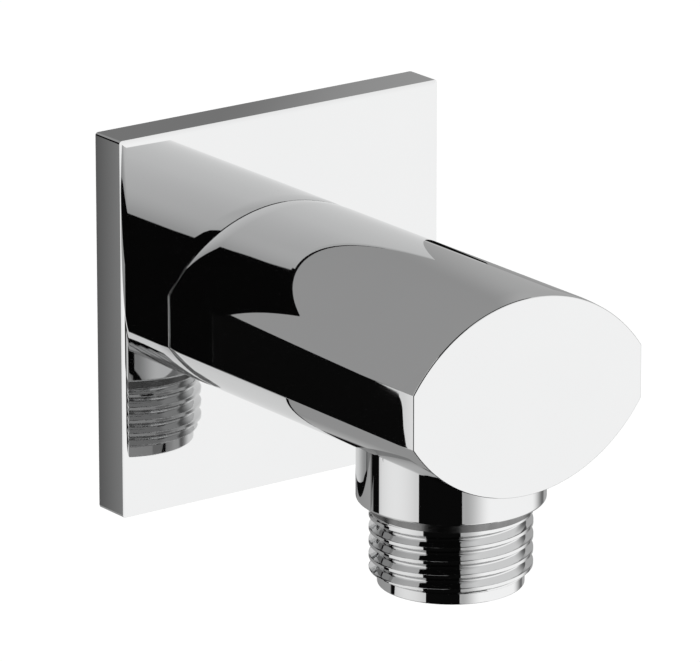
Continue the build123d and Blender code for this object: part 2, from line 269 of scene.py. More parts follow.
nipple_corners = [
    (hex_half, nipple_wall_end),
    (nipple_mouth, nipple_wall_end),
    (nipple_spigot, nipple_thread_end),
    (nipple_spigot, lock_groove_at - lock_groove_depth),
    (nipple_spigot - lock_groove_depth, lock_groove_at),
    (nipple_spigot, lock_groove_at + lock_groove_depth),
    *groove_corners,
    (nipple_spigot, nipple_body_end - nipple_end_bevel),
    (nipple_spigot - nipple_end_bevel, nipple_body_end),
    (nipple_bore, nipple_body_end),
    (nipple_bore, hex_end),
    (hex_half, hex_end),
]
nipple_round = 0.12
nipple_steps = 4
nipple_columns = 108
nipple_theta = full_turn(nipple_columns)
nipple_rows = turned_rows(rounded_outline(nipple_corners, nipple_round, nipple_steps), nipple_theta)
# The hexagon's radius is its half width over the cosine of the angle from the middle of the nearest side.
hex_angle = (nipple_theta + np.pi / 6) % (np.pi / 3) - np.pi / 6
nipple_rows[0, :nipple_steps] /= np.cos(hex_angle)
nipple_rows[0, -nipple_steps:] /= np.cos(hex_angle)
# The thread's rows go in between those of the second and the third corner.
nipple_rise = np.linspace(nipple_wall_end + nipple_round, nipple_thread_end - nipple_round, THREAD_STEPS)
nipple_lead = np.minimum(
    nipple_mouth + (nipple_rise - nipple_wall_end), nipple_spigot + (nipple_thread_end - nipple_rise))
nipple_thread = thread_rows(
    nipple_rise, nipple_theta, PIPE_PITCH, nipple_wall_end, PIPE_CREST,
    np.full_like(nipple_rise, PIPE_THREAD_DEPTH), np.minimum(nipple_lead, nipple_crest))
nipple_rows = np.concatenate(
    [nipple_rows[:, :2 * nipple_steps], nipple_thread, nipple_rows[:, 2 * nipple_steps:]], 1)
wall_nipple = turned_piece(
    "brass_wall_nipple", nipple_rows, nipple_theta, OUT_OF_WALL, WALL_AXIS, brass, "elbow")
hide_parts("wall_nipple")

# Nipple rings: two moulded rubber O-rings in the grooves of the nipple's spigot. They are pressed to a
# rounded block between the groove and the body's socket, and keep the water in.

grain = mask_group("cloud_and_grain", ["Cloud Scale", "Grain Scale"])
for mask, detail in (("Cloud", 3.0), ("Grain", 5.0)):
    noise = add_texture(grain, "ShaderNodeTexNoise", mask + " Scale", mask)
    noise.inputs["Detail"].default_value = detail
seal_rubber = finish_of(
    "seal_rubber", grain, {"Cloud Scale": 400.0, "Grain Scale": 4000.0},
    dark=(0.014, 0.014, 0.015), light=(0.045, 0.045, 0.047), smooth=0.35, rough=0.6, relief=8e-6)


def rubber_ring(name, node, inner, axes, centre):
    """A ring that fills its node's width and outer radius. Each corner of its section is rounded by a share
    of the section's narrower side."""
    round_share = 0.42
    round_steps = 6
    columns = 96
    low, high = node_box(node)
    outer = high[0]
    ends = (np.array([low, high]) - centre) @ axes[2]
    corners = [(inner, ends.min()), (outer, ends.min()), (outer, ends.max()), (inner, ends.max())]
    corner_round = round_share * min(outer - inner, np.ptp(ends))
    theta = full_turn(columns)
    rows = turned_rows(rounded_outline(corners, corner_round, round_steps), theta)
    ring = turned_piece(name, rows, theta, axes, centre, seal_rubber, "elbow")
    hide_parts(node)


rubber_ring("rear_nipple_ring", "nipple_o_ring_rear", ring_groove_floor, OUT_OF_WALL, WALL_AXIS)
rubber_ring("front_nipple_ring", "nipple_o_ring_front", ring_groove_floor, OUT_OF_WALL, WALL_AXIS)

# Gasket: a square of dark closed-cell foam with a round hole, cut from sheet. It lies in the hollow of the
# plate and is pressed against the wall round the nipple.

foam_cells = mask_group("foam_cells", ["Cloud Scale", "Cell Scale"])
add_texture(foam_cells, "ShaderNodeTexNoise", "Cloud Scale", "Cloud")
add_texture(foam_cells, "ShaderNodeTexVoronoi", "Cell Scale", "Grain", result="Distance")
foam = finish_of(
    "cut_foam", foam_cells, {"Cloud Scale": 300.0, "Cell Scale": 1600.0},
    dark=(0.06, 0.06, 0.066), light=(0.15, 0.15, 0.16), smooth=0.75, rough=0.95, relief=1.5e-4)


def square_plate(name, outline, plan_round, side_steps, finish):
    """A flat square piece with a round hole. Each corner of its outline has a size, a distance out of the
    wall, a rounding and whether it is square.

    Where a corner is square, its size is half a side and its row is a square with round corners: the size
    less the plan round, times the place on a unit square, plus the plan round times the normal. The plan
    round shrinks with the size. Elsewhere the size is a radius and the row is a circle, whose points lie in
    the directions of the widest square's.
    """
    steps = 5
    corner_size, corner_rise, rounds, is_square = np.array(outline, float).T
    section, section_normal = rounded_outline(np.stack([corner_size, corner_rise], 1), rounds, steps)
    size, rise = section.T[..., None, None]
    out, up = section_normal.T[..., None, None]
    square = np.repeat(is_square > 0, steps)[:, None, None]
    least_bend = 0.1
    arc = np.linspace(0, np.pi / 2, steps)
    side = np.linspace(1, -1, side_steps + 2)[1:-1]
    quarter = np.concatenate([np.ones((len(arc), 2)), np.stack([side, np.ones_like(side)], 1)])
    quarter_normal = np.concatenate(
        [np.stack([np.cos(arc), np.sin(arc)], 1), np.repeat([[0.0, 1.0]], len(side), 0)])
    turns = np.array([[[1, 0], [0, 1]], [[0, 1], [-1, 0]], [[-1, 0], [0, -1]], [[0, -1], [1, 0]]], float)
    unit = np.concatenate(quarter @ turns)
    normal = np.concatenate(quarter_normal @ turns)
    bend = np.clip(plan_round - (size.max() - size), least_bend, None)
    square_row = (size - bend) * unit + bend * normal
    widest = square_row[size.argmax()]
    radial = widest / np.linalg.norm(widest, axis=1, keepdims=True)
    plan = np.where(square, square_row, size * radial)
    facing = np.where(square, normal, radial) * out
    points = plan @ OUT_OF_WALL[:2] + rise * OUT_OF_WALL[2]
    normals = facing @ OUT_OF_WALL[:2] + up * OUT_OF_WALL[2]
    faces = grid_faces(np.arange(points[..., 0].size).reshape(points.shape[:2]), closed_rows=True)
    return make_piece(name, points, normals, [faces], finish, "elbow")


gasket_low, gasket_high = node_box("escutcheon_gasket")
gasket_half = gasket_high[0]
gasket_thick = -gasket_low[1]
gasket_hole = 17.0
gasket_round = 0.4
gasket_plan_round = 1.2
gasket_side_steps = 14
gasket_outline = [
    (gasket_hole, 0, gasket_round, False),
    (gasket_half, 0, gasket_round, True),
    (gasket_half, gasket_thick, gasket_round, True),
    (gasket_hole, gasket_thick, gasket_round, False),
]
gasket = square_plate("foam_gasket", gasket_outline, gasket_plan_round, gasket_side_steps, foam)
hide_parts("escutcheon_gasket")

# Wall plate: a square cover of chromed brass with sharp, lightly broken edges, hollow behind. A hub round
# its hole slips over the body's rear spigot, so no screw shows.

chrome = finish_of(
    "polished_chrome", grain, {"Cloud Scale": 45.0, "Grain Scale": 220.0},
    dark=(0.655, 0.658, 0.66), light=(0.68, 0.682, 0.682),
    smooth=0.01, rough=0.03, relief=2e-7, metallic=1.0)
# Chrome hardly gets brighter at a glancing angle.
chrome.node_tree.nodes["Principled BSDF"].inputs["Specular Tint"].default_value = (0.85, 0.85, 0.85, 1)

plate_low, plate_high = node_box("escutcheon")
plate_half = plate_high[0]
plate_front = -plate_low[1]
plate_rim = 2.0
plate_floor = 3.6
plate_edge = 0.008
plate_rear_round = 0.2
plate_hollow_round = 0.3
plate_plan_round = 0.4
plate_side_steps = 20
hub_radius = 14.1
hub_end = 2.2
plate_hole = 12.1
# Polishing has eased the front along its edges, in a bend too flat to see but for what it mirrors.
eased_width = 0.56
eased_lean = np.radians(14)
eased_drop = eased_width * np.tan(eased_lean)
eased_round = 4.1
plate_outline = [
    (plate_hole, hub_end, plate_rear_round, False),
    (hub_radius, hub_end, plate_rear_round, False),
    (hub_radius, plate_floor, plate_rear_round, False),
    (plate_half - plate_rim, plate_floor, plate_hollow_round, True),
    (plate_half - plate_rim, 0, plate_rear_round, True),
    (plate_half, 0, plate_rear_round, True),
    (plate_half, plate_front - eased_drop, plate_edge, True),
    (plate_half - eased_width, plate_front, eased_round, True),
    (plate_hole, plate_front, plate_rear_round, False),
]
wall_plate = square_plate(
    "chrome_wall_plate", plate_outline, plate_plan_round, plate_side_steps, chrome)
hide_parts("escutcheon")

# Plate ring: a rubber O-ring in the groove of the body's rear spigot. It grips the plate's hub and holds the
# plate against the body.

spigot_groove_floor = 10.8
rubber_ring("plate_ring", "escutcheon_o_ring", spigot_groove_floor, OUT_OF_WALL, WALL_AXIS)

# Body: a length of drawn brass bar, lens shaped in section with two narrow side flats, sawn square, bored
# from behind for the nipple and chromed. A small hole underneath takes the grub screw.

body_low, body_high = node_box("elbow_body")
body_half = body_high[0]
body_apex = body_high[2]
body_front = -body_low[1]
flat_half = 3.5
edge_round = 0.25
rim_round = 0.2
spigot_radius = 12.0
spigot_end = 1.0
spigot_groove = (1.6, 3.6)
socket_radius = 9.05
waterway_radius = 5.0
waterway_end = 41.8
bore_round = 0.12

# The top arc passes through the apex and both flats' ends, so its radius follows from their places.
arc_drop = body_apex - flat_half
arc_radius = (body_half ** 2 + arc_drop ** 2) / (2 * arc_drop)
arc_centre = body_apex - arc_radius
edge_side = body_half - edge_round
edge_rise = arc_centre + np.sqrt((arc_radius - edge_round) ** 2 - edge_side ** 2)
edge_turn = np.arctan2(edge_rise - arc_centre, edge_side)
edge_steps = 5
arc_steps = 49
flat_steps = 7


def lens_half():
    """Points and normals of the right upper edge, the top arc, the left upper edge and the left flat.

    Each edge is an arc tangent to its flat and inside the top arc, so the normal turns without a break.
    """
    right = np.linspace(0, edge_turn, edge_steps, endpoint=False)
    top = np.linspace(edge_turn, np.pi - edge_turn, arc_steps)
    left = np.pi - right[::-1]
    down = np.linspace(edge_rise, -edge_rise, flat_steps + 2)[1:-1]
    points = []
    normals = []
    for angle, side, rise, radius in (
            (right, edge_side, edge_rise, edge_round),
            (top, 0, arc_centre, arc_radius),
            (left, -edge_side, edge_rise, edge_round)):
        normal = np.stack([np.cos(angle), np.sin(angle)], 1)
        points.append(np.array([side, rise]) + radius * normal)
        normals.append(normal)
    points.append(np.stack([np.full(flat_steps, -body_half), down], 1))
    normals.append(np.repeat([[-1.0, 0.0]], flat_steps, 0))
    return np.concatenate(points), np.concatenate(normals)


half_points, half_normals = lens_half()
lens_points = np.concatenate([half_points, -half_points])
lens_normals = np.concatenate([half_normals, -half_normals])
lens_radial = lens_points / np.linalg.norm(lens_points, axis=1, keepdims=True)

# Behind, the round spigot, its groove, the socket and the waterway; the outline's last three corners only
# close it.
bore_corners = [
    (0, waterway_end),
    (waterway_radius, waterway_end),
    (waterway_radius, nipple_body_end),
    (socket_radius, nipple_body_end),
    (socket_radius, spigot_end),
    (spigot_radius, spigot_end),
    (spigot_radius, spigot_groove[0]),
    (spigot_groove_floor, spigot_groove[0]),
    (spigot_groove_floor, spigot_groove[1]),
    (spigot_radius, spigot_groove[1]),
    (spigot_radius, plate_front),
    (2 * body_half, plate_front),
    (2 * body_half, body_front),
    (0, body_front),
]
bore_steps = 4
bore_points, bore_normals = rounded_outline(bore_corners, bore_round, bore_steps)
bore_rows = slice(bore_steps, -3 * bore_steps)
bore_radius, bore_rise = bore_points[bore_rows].T
bore_out, bore_up = bore_normals[bore_rows].T

# In front, the lens section from the rear rim to the front rim, with even rows across the grub screw's hole.
grub_low, grub_high = node_box("grub_screw")
grub_at = -(grub_low[1] + grub_high[1]) / 2
grub_hole = 2.55
grub_rim = 0.25
grub_hole_short = 0.15
window_half = 3.5
window_steps = 8
window_rise = np.linspace(grub_at - window_half, grub_at + window_half, window_steps + 1)
# Polishing has eased both ends of the bar, so its surface bends in towards each rim.
rim_steps = 6
end_reach = 1.5
end_lean = np.radians(7)
end_drop = end_reach * np.tan(end_lean)
end_round = 20.0
rim_points, rim_normals = rounded_outline(
    [(-body_half, plate_front), (-end_drop, plate_front), (0, plate_front + end_reach),
     (0, body_front - end_reach), (-end_drop, body_front), (-body_half, body_front)],
    [0, rim_round, end_round, end_round, rim_round, 0], rim_steps)
rim_rows = np.concatenate([rim_points, rim_normals], 1)
rear_rim = rim_rows[rim_steps:3 * rim_steps]
front_rim = rim_rows[3 * rim_steps:5 * rim_steps]
front_steps = 8
front_rise = np.linspace(grub_at + window_half, body_front - 2 * end_reach, front_steps)[1:]
side_rise = np.concatenate([window_rise, front_rise])
side_rows = np.stack([0 * side_rise, side_rise, 0 * side_rise + 1, 0 * side_rise], 1)
lens_inset, lens_rise, lens_out, lens_up = np.concatenate([rear_rim, side_rows, front_rim]).T

# The eased ends shrink the section as a whole, and the rims round it along its normals.
end_scale = 1 + np.maximum(lens_inset, -end_drop) / body_half
rim_inset = np.minimum(lens_inset + end_drop, 0)
body_plan = np.concatenate([
    bore_radius[:, None, None] * lens_radial,
    end_scale[:, None, None] * lens_points + rim_inset[:, None, None] * lens_normals,
])
body_plan_normal = np.concatenate([
    bore_out[:, None, None] * lens_radial,
    lens_out[:, None, None] * lens_normals,
])
body_rise = np.concatenate([bore_rise, lens_rise])[:, None, None]
body_up = np.concatenate([bore_up, lens_up])[:, None, None]
body_points = body_plan @ OUT_OF_WALL[:2] + body_rise * OUT_OF_WALL[2]
body_normals = body_plan_normal @ OUT_OF_WALL[:2] + body_up * OUT_OF_WALL[2]
body_index = np.arange(body_points[..., 0].size).reshape(body_points.shape[:2])

# The window is the block of grid points round the hole, on the middle of the lower arc.
arc_middle = len(half_points) + edge_steps + arc_steps // 2
window_columns = slice(arc_middle - window_steps // 2, arc_middle + window_steps // 2 + 1)
window_first = len(bore_radius) + 2 * rim_steps
window = body_index[window_first:window_first + window_steps + 1, window_columns]
border = np.concatenate([window[0, :-1], window[:-1, -1], window[-1, :0:-1], window[:0:-1, 0]])
border_points = body_points.reshape(-1, 3)[border]
border_angle = np.arctan2(-border_points[:, 1] - grub_at, border_points[:, 0])
circle = np.stack([np.cos(border_angle), np.sin(border_angle)], 1)


def lower_arc(side, out):
    """Points and normals of the body's lower arc at places to the side and out of the wall: the height below
    is the arc's, and the normal points away from the arc's centre."""
    drop = -arc_centre - np.sqrt(arc_radius ** 2 - side ** 2)
    points = np.stack([side, -out, drop], -1)
    normals = np.stack([side, 0 * side, drop + arc_centre], -1) / arc_radius
    return points, normals


# From the window's border to the hole's rim the rows run straight in plan. The wall then goes up to the end,
# just short of the socket.
patch_steps = 3
share = np.arange(1, patch_steps + 1)[:, None] / patch_steps
rim_side = (grub_hole + grub_rim) * circle[:, 0]
rim_out = grub_at + (grub_hole + grub_rim) * circle[:, 1]
patch_side = (1 - share) * border_points[:, 0] + share * rim_side
patch_out = -(1 - share) * border_points[:, 1] + share * rim_out
patch_points, patch_normals = lower_arc(patch_side, patch_out)
wall_mouth = lower_arc(grub_hole * circle[:, 0], grub_at + grub_hole * circle[:, 1])[0] + [0, 0, grub_rim]
wall_top = wall_mouth * [1, 1, 0] + [0, 0, -socket_radius - grub_hole_short]
inwards = np.stack([-circle[:, 0], circle[:, 1], 0 * circle[:, 0]], 1)
downwards = np.repeat([[0.0, 0.0, -1.0]], len(circle), 0)
hole_points = np.concatenate([patch_points, [wall_mouth, wall_mouth, wall_top, wall_top]])
hole_normals = np.concatenate(
    [patch_normals, [(inwards + downwards) / np.sqrt(2), inwards, inwards, downwards]])
hole_index = body_index.size + np.arange(hole_points[..., 0].size).reshape(hole_points.shape[:2])
hole_index = np.concatenate([border[None], hole_index])

# Three centre points close the front face, the waterway's end and the hole's end.
centres = np.array([[0, -body_front, 0], [0, -waterway_end, 0], [0, -grub_at, wall_top[0, 2]]])
centre_normals = np.array([[0, -1, 0], [0, 1, 0], [0, 0, -1]], float)
centre_index = body_index.size + hole_points[..., 0].size + np.arange(3)
all_points = np.concatenate([body_points.reshape(-1, 3), hole_points.reshape(-1, 3), centres])
all_normals = np.concatenate([body_normals.reshape(-1, 3), hole_normals.reshape(-1, 3), centre_normals])


def fan_faces(ring, centre):
    """Three-cornered faces from a closed ring of point numbers to one centre point."""
    return np.stack([ring, np.roll(ring, -1), np.full(len(ring), centre)], -1)


bar_faces = grid_faces(body_index)
bar_faces = bar_faces[~np.isin(bar_faces, window).all(1)]
fans = np.concatenate([
    fan_faces(body_index[-1], centre_index[0]),
    fan_faces(body_index[0], centre_index[1]),
    fan_faces(hole_index[-1], centre_index[2]),
])
face_sets = [bar_faces, grid_faces(hole_index), fans]
used = np.unique(np.concatenate([faces.ravel() for faces in face_sets]))
face_sets = [np.searchsorted(used, faces) for faces in face_sets]
body = make_piece(
    "chrome_elbow_body", all_points[used], all_normals[used], face_sets, chrome, "elbow")
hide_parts("elbow_body")

# Grub screw: a short stainless screw with a cone point and a hex socket, screwed up into the body until its
# point sits in the nipple's lock groove.

steel = finish_of(
    "plain_steel", grain, {"Cloud Scale": 300.0, "Grain Scale": 3500.0},
    dark=(0.47, 0.48, 0.49), light=(0.60, 0.61, 0.62), smooth=0.22, rough=0.4, relief=3e-6, metallic=1.0)


def dress_node(node, finish):
    """Gives a node of the frame its finish."""
    for material_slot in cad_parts[node].material_slots:
        material_slot.material = finish


dress_node("grub_screw", steel)

# Outlet washer: a flat ring of red-brown pressed fibre, cut from sheet. It is squeezed between the collar
# and the body, and seals the outlet there.

strands = mask_group("pressed_strands", ["Cloud Scale", "Strand Scale"])
add_texture(strands, "ShaderNodeTexNoise", "Cloud Scale", "Cloud")
strand_noise = add_texture(strands, "ShaderNodeTexNoise", "Strand Scale", "Grain")
strand_noise.inputs["Distortion"].default_value = 1.0
strand_stretch = strands.nodes.new("ShaderNodeMapping")
strand_stretch.inputs["Scale"].default_value = (1.0, 5.0, 12.0)
strands.links.new(strands.nodes["Texture Coordinate"].outputs["Object"], strand_stretch.inputs["Vector"])
strands.links.new(strand_stretch.outputs["Vector"], strand_noise.inputs["Vector"])
washer_fibre = finish_of(
    "washer_fibre", strands, {"Cloud Scale": 350.0, "Strand Scale": 900.0},
    dark=(0.27, 0.085, 0.07), light=(0.43, 0.15, 0.12), smooth=0.7, rough=0.9, relief=2e-5)
dress_node("outlet_washer", washer_fibre)

# Outlet nipple: a turned brass collar with a spigot screwed up into the body and a half inch pipe thread
# below for the hose, polished and chromed. The thread starts on a plain pilot and runs out in a short neck.

UPWARDS = np.eye(3)
outlet_low, outlet_high = node_box("outlet_nipple")
outlet_axis = np.array([0, (outlet_low[1] + outlet_high[1]) / 2, 0])
collar_radius = outlet_high[0]
outlet_bottom = outlet_low[2]
outlet_top = outlet_high[2]
hose_crest = 10.35
hose_crest_at = -25.44
hose_thread_gap = 0.05
pilot_radius = 9.3
pilot_top = -26.9
lead_slope = 1.9
collar_bottom = -17.1
collar_top = -8.4
neck_fillet = 0.15
neck_height = 1.35
run_out = 0.6
outlet_spigot = 10.0
outlet_bore = 5.5
valve_bore = 7.5
valve_bore_end = -11.1
# Each corner has its radius, its height and its rounding.
outlet_outline = np.array([
    (valve_bore, outlet_bottom, 0.25),
    (pilot_radius, outlet_bottom, 0.15),
    (pilot_radius, pilot_top, 0.02),
    (hose_crest, pilot_top + (hose_crest - pilot_radius) / lead_slope, 0),
    (hose_crest, collar_bottom, neck_fillet),
    (collar_radius, collar_bottom, 0.35),
    (collar_radius, collar_top, 0.2),
    (outlet_spigot, collar_top, 0.1),
    (outlet_spigot, outlet_top, 0.2),
    (outlet_bore, outlet_top, 0.2),
    (outlet_bore, valve_bore_end, 0.1),
    (valve_bore, valve_bore_end, 0.1),
])
outlet_steps = 7
outlet_columns = 160
outlet_section = rounded_outline(outlet_outline[:, :2], outlet_outline[:, 2], outlet_steps)
outlet_theta = full_turn(outlet_columns)
outlet_rows = turned_rows(outlet_section, outlet_theta)
hose_rise = np.linspace(
    pilot_top + hose_thread_gap, collar_bottom - neck_fillet - hose_thread_gap, THREAD_STEPS)
neck_bottom = collar_bottom - neck_height
hose_depth = np.interp(hose_rise, [neck_bottom - run_out, neck_bottom], [PIPE_THREAD_DEPTH, 0.0])
hose_limit = np.minimum(hose_crest, pilot_radius + lead_slope * (hose_rise - pilot_top))
hose_thread = thread_rows(
    hose_rise, outlet_theta, PIPE_PITCH, hose_crest_at, PIPE_CREST, hose_depth, hose_limit)
# The thread's rows stand in for those of the fourth corner.
outlet_rows = np.concatenate(
    [outlet_rows[:, :3 * outlet_steps], hose_thread, outlet_rows[:, 4 * outlet_steps:]], 1)
outlet_nipple = turned_piece(
    "chrome_outlet_nipple", outlet_rows, outlet_theta, UPWARDS, outlet_axis, chrome, "elbow")
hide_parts("outlet_nipple")

# Under the collar the neck's chrome is rougher and painted dark: painted shade for the dark band under the
# collar's overhang.
painted_shade_chrome = finish_of(
    "painted_shade_chrome", grain, {"Cloud Scale": 500.0, "Grain Scale": 2600.0},
    dark=(0.125, 0.125, 0.125), light=(0.26, 0.26, 0.26), smooth=0.12, rough=0.3, relief=3e-6, metallic=1.0)
outlet_nipple.data.materials.append(painted_shade_chrome)
# The neck's faces between the collar and the thread take the painted shade.
face_middle = np.zeros((len(outlet_nipple.data.polygons), 3))
outlet_nipple.data.polygons.foreach_get("center", face_middle.ravel())
face_radius = np.hypot(*(face_middle / MM - outlet_axis)[:, :2].T)
painted_shade_faces = (face_middle[:, 2] < collar_bottom * MM) & (face_middle[:, 2] > neck_bottom * MM)
painted_shade_faces &= face_radius > pilot_radius
outlet_nipple.data.polygons.foreach_set("material_index", painted_shade_faces.astype(np.int32))

# Check valve: a push-in cartridge of white moulded plastic in the outlet. Housing and spoked cage clip
# together, and a rubber ring seals the housing in its bore.

valve_plastic = finish_of(
    "valve_plastic", grain, {"Cloud Scale": 250.0, "Grain Scale": 2500.0},
    dark=(0.76, 0.76, 0.73), light=(0.86, 0.86, 0.83), smooth=0.3, rough=0.5, relief=6e-6)
dress_node("check_valve_housing", valve_plastic)
dress_node("check_valve_cage", valve_plastic)
valve_groove_floor = 6.65
rubber_ring("valve_ring", "check_valve_o_ring", valve_groove_floor, UPWARDS, outlet_axis)

# Poppet: a blue plastic head and stem with a rubber seal stretched over its neck. It slides down the cage's
# guide when water flows out, and closes upwards on the housing's seat.

poppet_plastic = finish_of(
    "poppet_plastic", grain, {"Cloud Scale": 250.0, "Grain Scale": 2500.0},
    dark=(0.20, 0.31, 0.50), light=(0.27, 0.40, 0.60), smooth=0.3, rough=0.5, relief=6e-6)
dress_node("check_valve_poppet", poppet_plastic)

seal_low, seal_high = node_box("poppet_seal")
seal_outer = seal_high[0]
seal_lip = 0.8
seal_inner = 2.6
# Each corner has its radius, its height and its rounding.
seal_outline = np.array([
    (seal_inner, seal_low[2], 0.1),
    (seal_outer, seal_low[2], 0.25),
    (seal_outer, seal_high[2] - seal_lip, 0.3),
    (seal_outer - seal_lip, seal_high[2], 0.3),
    (seal_inner, seal_high[2], 0.1),
])
seal_steps = 6
seal_columns = 72
seal_theta = full_turn(seal_columns)
seal_rows = turned_rows(rounded_outline(seal_outline[:, :2], seal_outline[:, 2], seal_steps), seal_theta)
poppet_seal = turned_piece(
    "poppet_rubber_seal", seal_rows, seal_theta, UPWARDS, outlet_axis, seal_rubber, "poppet")
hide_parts("poppet_seal")

# Valve spring: a coil of stainless wire between the cage's spokes and the poppet's head, with its end turns
# laid flat. In the valve it shortens as the poppet opens; here it keeps one length and rides on the body.

spring_low, spring_high = node_box("check_valve_spring")
wire_radius = 0.25
coil_radius = spring_high[0] - wire_radius
coil_turns = 5.5
flat_turns = 0.75
coil_steps = 400
wire_steps = 12


def coil_tube():
    """Points and normals of a wire along a coil: the angle grows evenly, and the rise is one wire a turn
    over the end turns and even between. Each ring of the wire lies across the coil's direction of travel."""
    turn = np.linspace(0, coil_turns, coil_steps)
    ends = [spring_low[2] + wire_radius, spring_high[2] - wire_radius]
    lift = 2 * wire_radius * flat_turns
    rise = np.interp(
        turn,
        [0, flat_turns, coil_turns - flat_turns, coil_turns],
        [ends[0], ends[0] + lift, ends[1] - lift, ends[1]])
    theta = 2 * np.pi * turn
    path = np.stack([coil_radius * np.cos(theta), coil_radius * np.sin(theta), rise], 1)
    travel = np.gradient(path, axis=0)
    travel /= np.linalg.norm(travel, axis=1, keepdims=True)
    outwards = np.stack([np.cos(theta), np.sin(theta), 0 * theta], 1)
    across = np.cross(travel, outwards)
    around = full_turn(wire_steps)[:, None]
    normals = np.cos(around) * outwards[:, None] + np.sin(around) * across[:, None]
    return outlet_axis + path[:, None] + wire_radius * normals, normals, path, travel


wire_points, wire_normals, wire_path, wire_travel = coil_tube()
wire_index = np.arange(coil_steps * wire_steps).reshape(coil_steps, wire_steps)
wire_ends = outlet_axis + wire_path[[0, -1]]
wire_end_normals = wire_travel[[0, -1]] * [[-1], [1]]
wire_fans = np.concatenate([
    fan_faces(wire_index[0], wire_index.size), fan_faces(wire_index[-1], wire_index.size + 1)])
spring = make_piece(
    "valve_spring_coil",
    np.concatenate([wire_points.reshape(-1, 3), wire_ends]),
    np.concatenate([wire_normals.reshape(-1, 3), wire_end_normals]),
    [grid_faces(wire_index), wire_fans], steel, "elbow")
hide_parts("check_valve_spring")
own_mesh(spring)

# Studio: a plain pale floor as far below as under a wall outlet, an even white surround and a soft overhead
# light. Grey and black cards stand round the object, seen only in its polish.

surround_share = 0.6


def seen_rays(nodes, links):
    """1 for a ray from the camera, off a polished surface or through a clear one, and 0 for the rest: the
    three flags are added up and held at 1."""
    path = nodes.new("ShaderNodeLightPath")
    glossy = nodes.new("ShaderNodeMath")
    clear = nodes.new("ShaderNodeMath")
    clear.use_clamp = True
    links.new(path.outputs["Is Camera Ray"], glossy.inputs[0])
    links.new(path.outputs["Is Glossy Ray"], glossy.inputs[1])
    links.new(glossy.outputs["Value"], clear.inputs[0])
    links.new(path.outputs["Is Transmission Ray"], clear.inputs[1])
    return clear.outputs["Value"]


surround = bpy.data.worlds.new("white_surround")
bpy.context.scene.world = surround
surround.use_nodes = True
surround_nodes = surround.node_tree.nodes
surround_links = surround.node_tree.links
surround_level = surround_nodes.new("ShaderNodeMapRange")
surround_level.inputs["To Min"].default_value = surround_share
surround_level.inputs["To Max"].default_value = 1.0
surround_links.new(seen_rays(surround_nodes, surround_links), surround_level.inputs["Value"])
surround_nodes["Background"].inputs["Color"].default_value = (1, 1, 1, 1)
surround_links.new(surround_level.outputs["Result"], surround_nodes["Background"].inputs["Strength"])

# Half of what shows of the floor is its own light, which lifts it to white round the object's shadow.
floor_drop = 1300.0
floor_half = 12000.0
floor_own_share = 0.5
floor_paint = bpy.data.materials.new("floor_paint")
floor_paint.use_nodes = True
floor_nodes = floor_paint.node_tree.nodes
floor_links = floor_paint.node_tree.links
floor_nodes.remove(floor_nodes["Principled BSDF"])
floor_matt = floor_nodes.new("ShaderNodeBsdfDiffuse")
floor_matt.inputs["Color"].default_value = (0.92, 0.92, 0.92, 1)
floor_lift = floor_nodes.new("ShaderNodeEmission")
floor_lift.inputs["Strength"].default_value = 1.16
floor_share = floor_nodes.new("ShaderNodeMath")
floor_share.operation = "MULTIPLY"
floor_share.inputs[1].default_value = floor_own_share
floor_mix = floor_nodes.new("ShaderNodeMixShader")
floor_links.new(seen_rays(floor_nodes, floor_links), floor_share.inputs[0])
floor_links.new(floor_share.outputs["Value"], floor_mix.inputs[0])
floor_links.new(floor_matt.outputs["BSDF"], floor_mix.inputs[1])
floor_links.new(floor_lift.outputs["Emission"], floor_mix.inputs[2])
floor_links.new(floor_mix.outputs["Shader"], floor_nodes["Material Output"].inputs["Surface"])
floor_corners = floor_half * np.array([(-1, -1, 0), (1, -1, 0), (1, 1, 0), (-1, 1, 0)])
floor = new_object("floor", floor_corners - [0, 0, floor_drop], [(0, 1, 2, 3)], floor_paint)

soft_light = bpy.data.lights.new("soft_light", "SUN")
soft_light.energy = (1.0 - surround_share) * np.pi
soft_light.angle = np.radians(70)
soft_lamp = bpy.data.objects.new("soft_light", soft_light)
soft_lamp.rotation_euler = np.radians((20, -15, 0))
soft_lamp.visible_glossy = False
bpy.context.scene.collection.objects.link(soft_lamp)

card_paint = bpy.data.materials.new("card_paint")
card_paint.use_nodes = True
card_nodes = card_paint.node_tree.nodes
card_links = card_paint.node_tree.links
card_nodes.remove(card_nodes["Principled BSDF"])
card_glow = card_nodes.new("ShaderNodeAttribute")
card_glow.attribute_name = "glow"
card_light = card_nodes.new("ShaderNodeEmission")
card_links.new(card_glow.outputs["Fac"], card_light.inputs["Strength"])
card_links.new(card_light.outputs["Emission"], card_nodes["Material Output"].inputs["Surface"])

FULLY_LIT = 1.3
BLACK = 0.003


def studio_card(name, points, shade):
    """A sheet from a grid of points in millimetres, seen only in polished surfaces: shade 1 is fully lit."""
    index = np.arange(shade.size).reshape(shade.shape)
    card = new_object(name, points, grid_faces(index, closed_columns=False).tolist(), card_paint)
    glow = card.data.attributes.new("glow", "FLOAT", "POINT")
    glow.data.foreach_set("value", (FULLY_LIT * shade).ravel())
    card.visible_camera = False
    card.visible_diffuse = False
    card.visible_transmission = False
    card.visible_shadow = False


def ease(start, end, value):
    """A smooth step from 0 at start to 1 at end."""
    share = np.clip((value - start) / (end - start), 0, 1)
    return share * share * (3 - 2 * share)


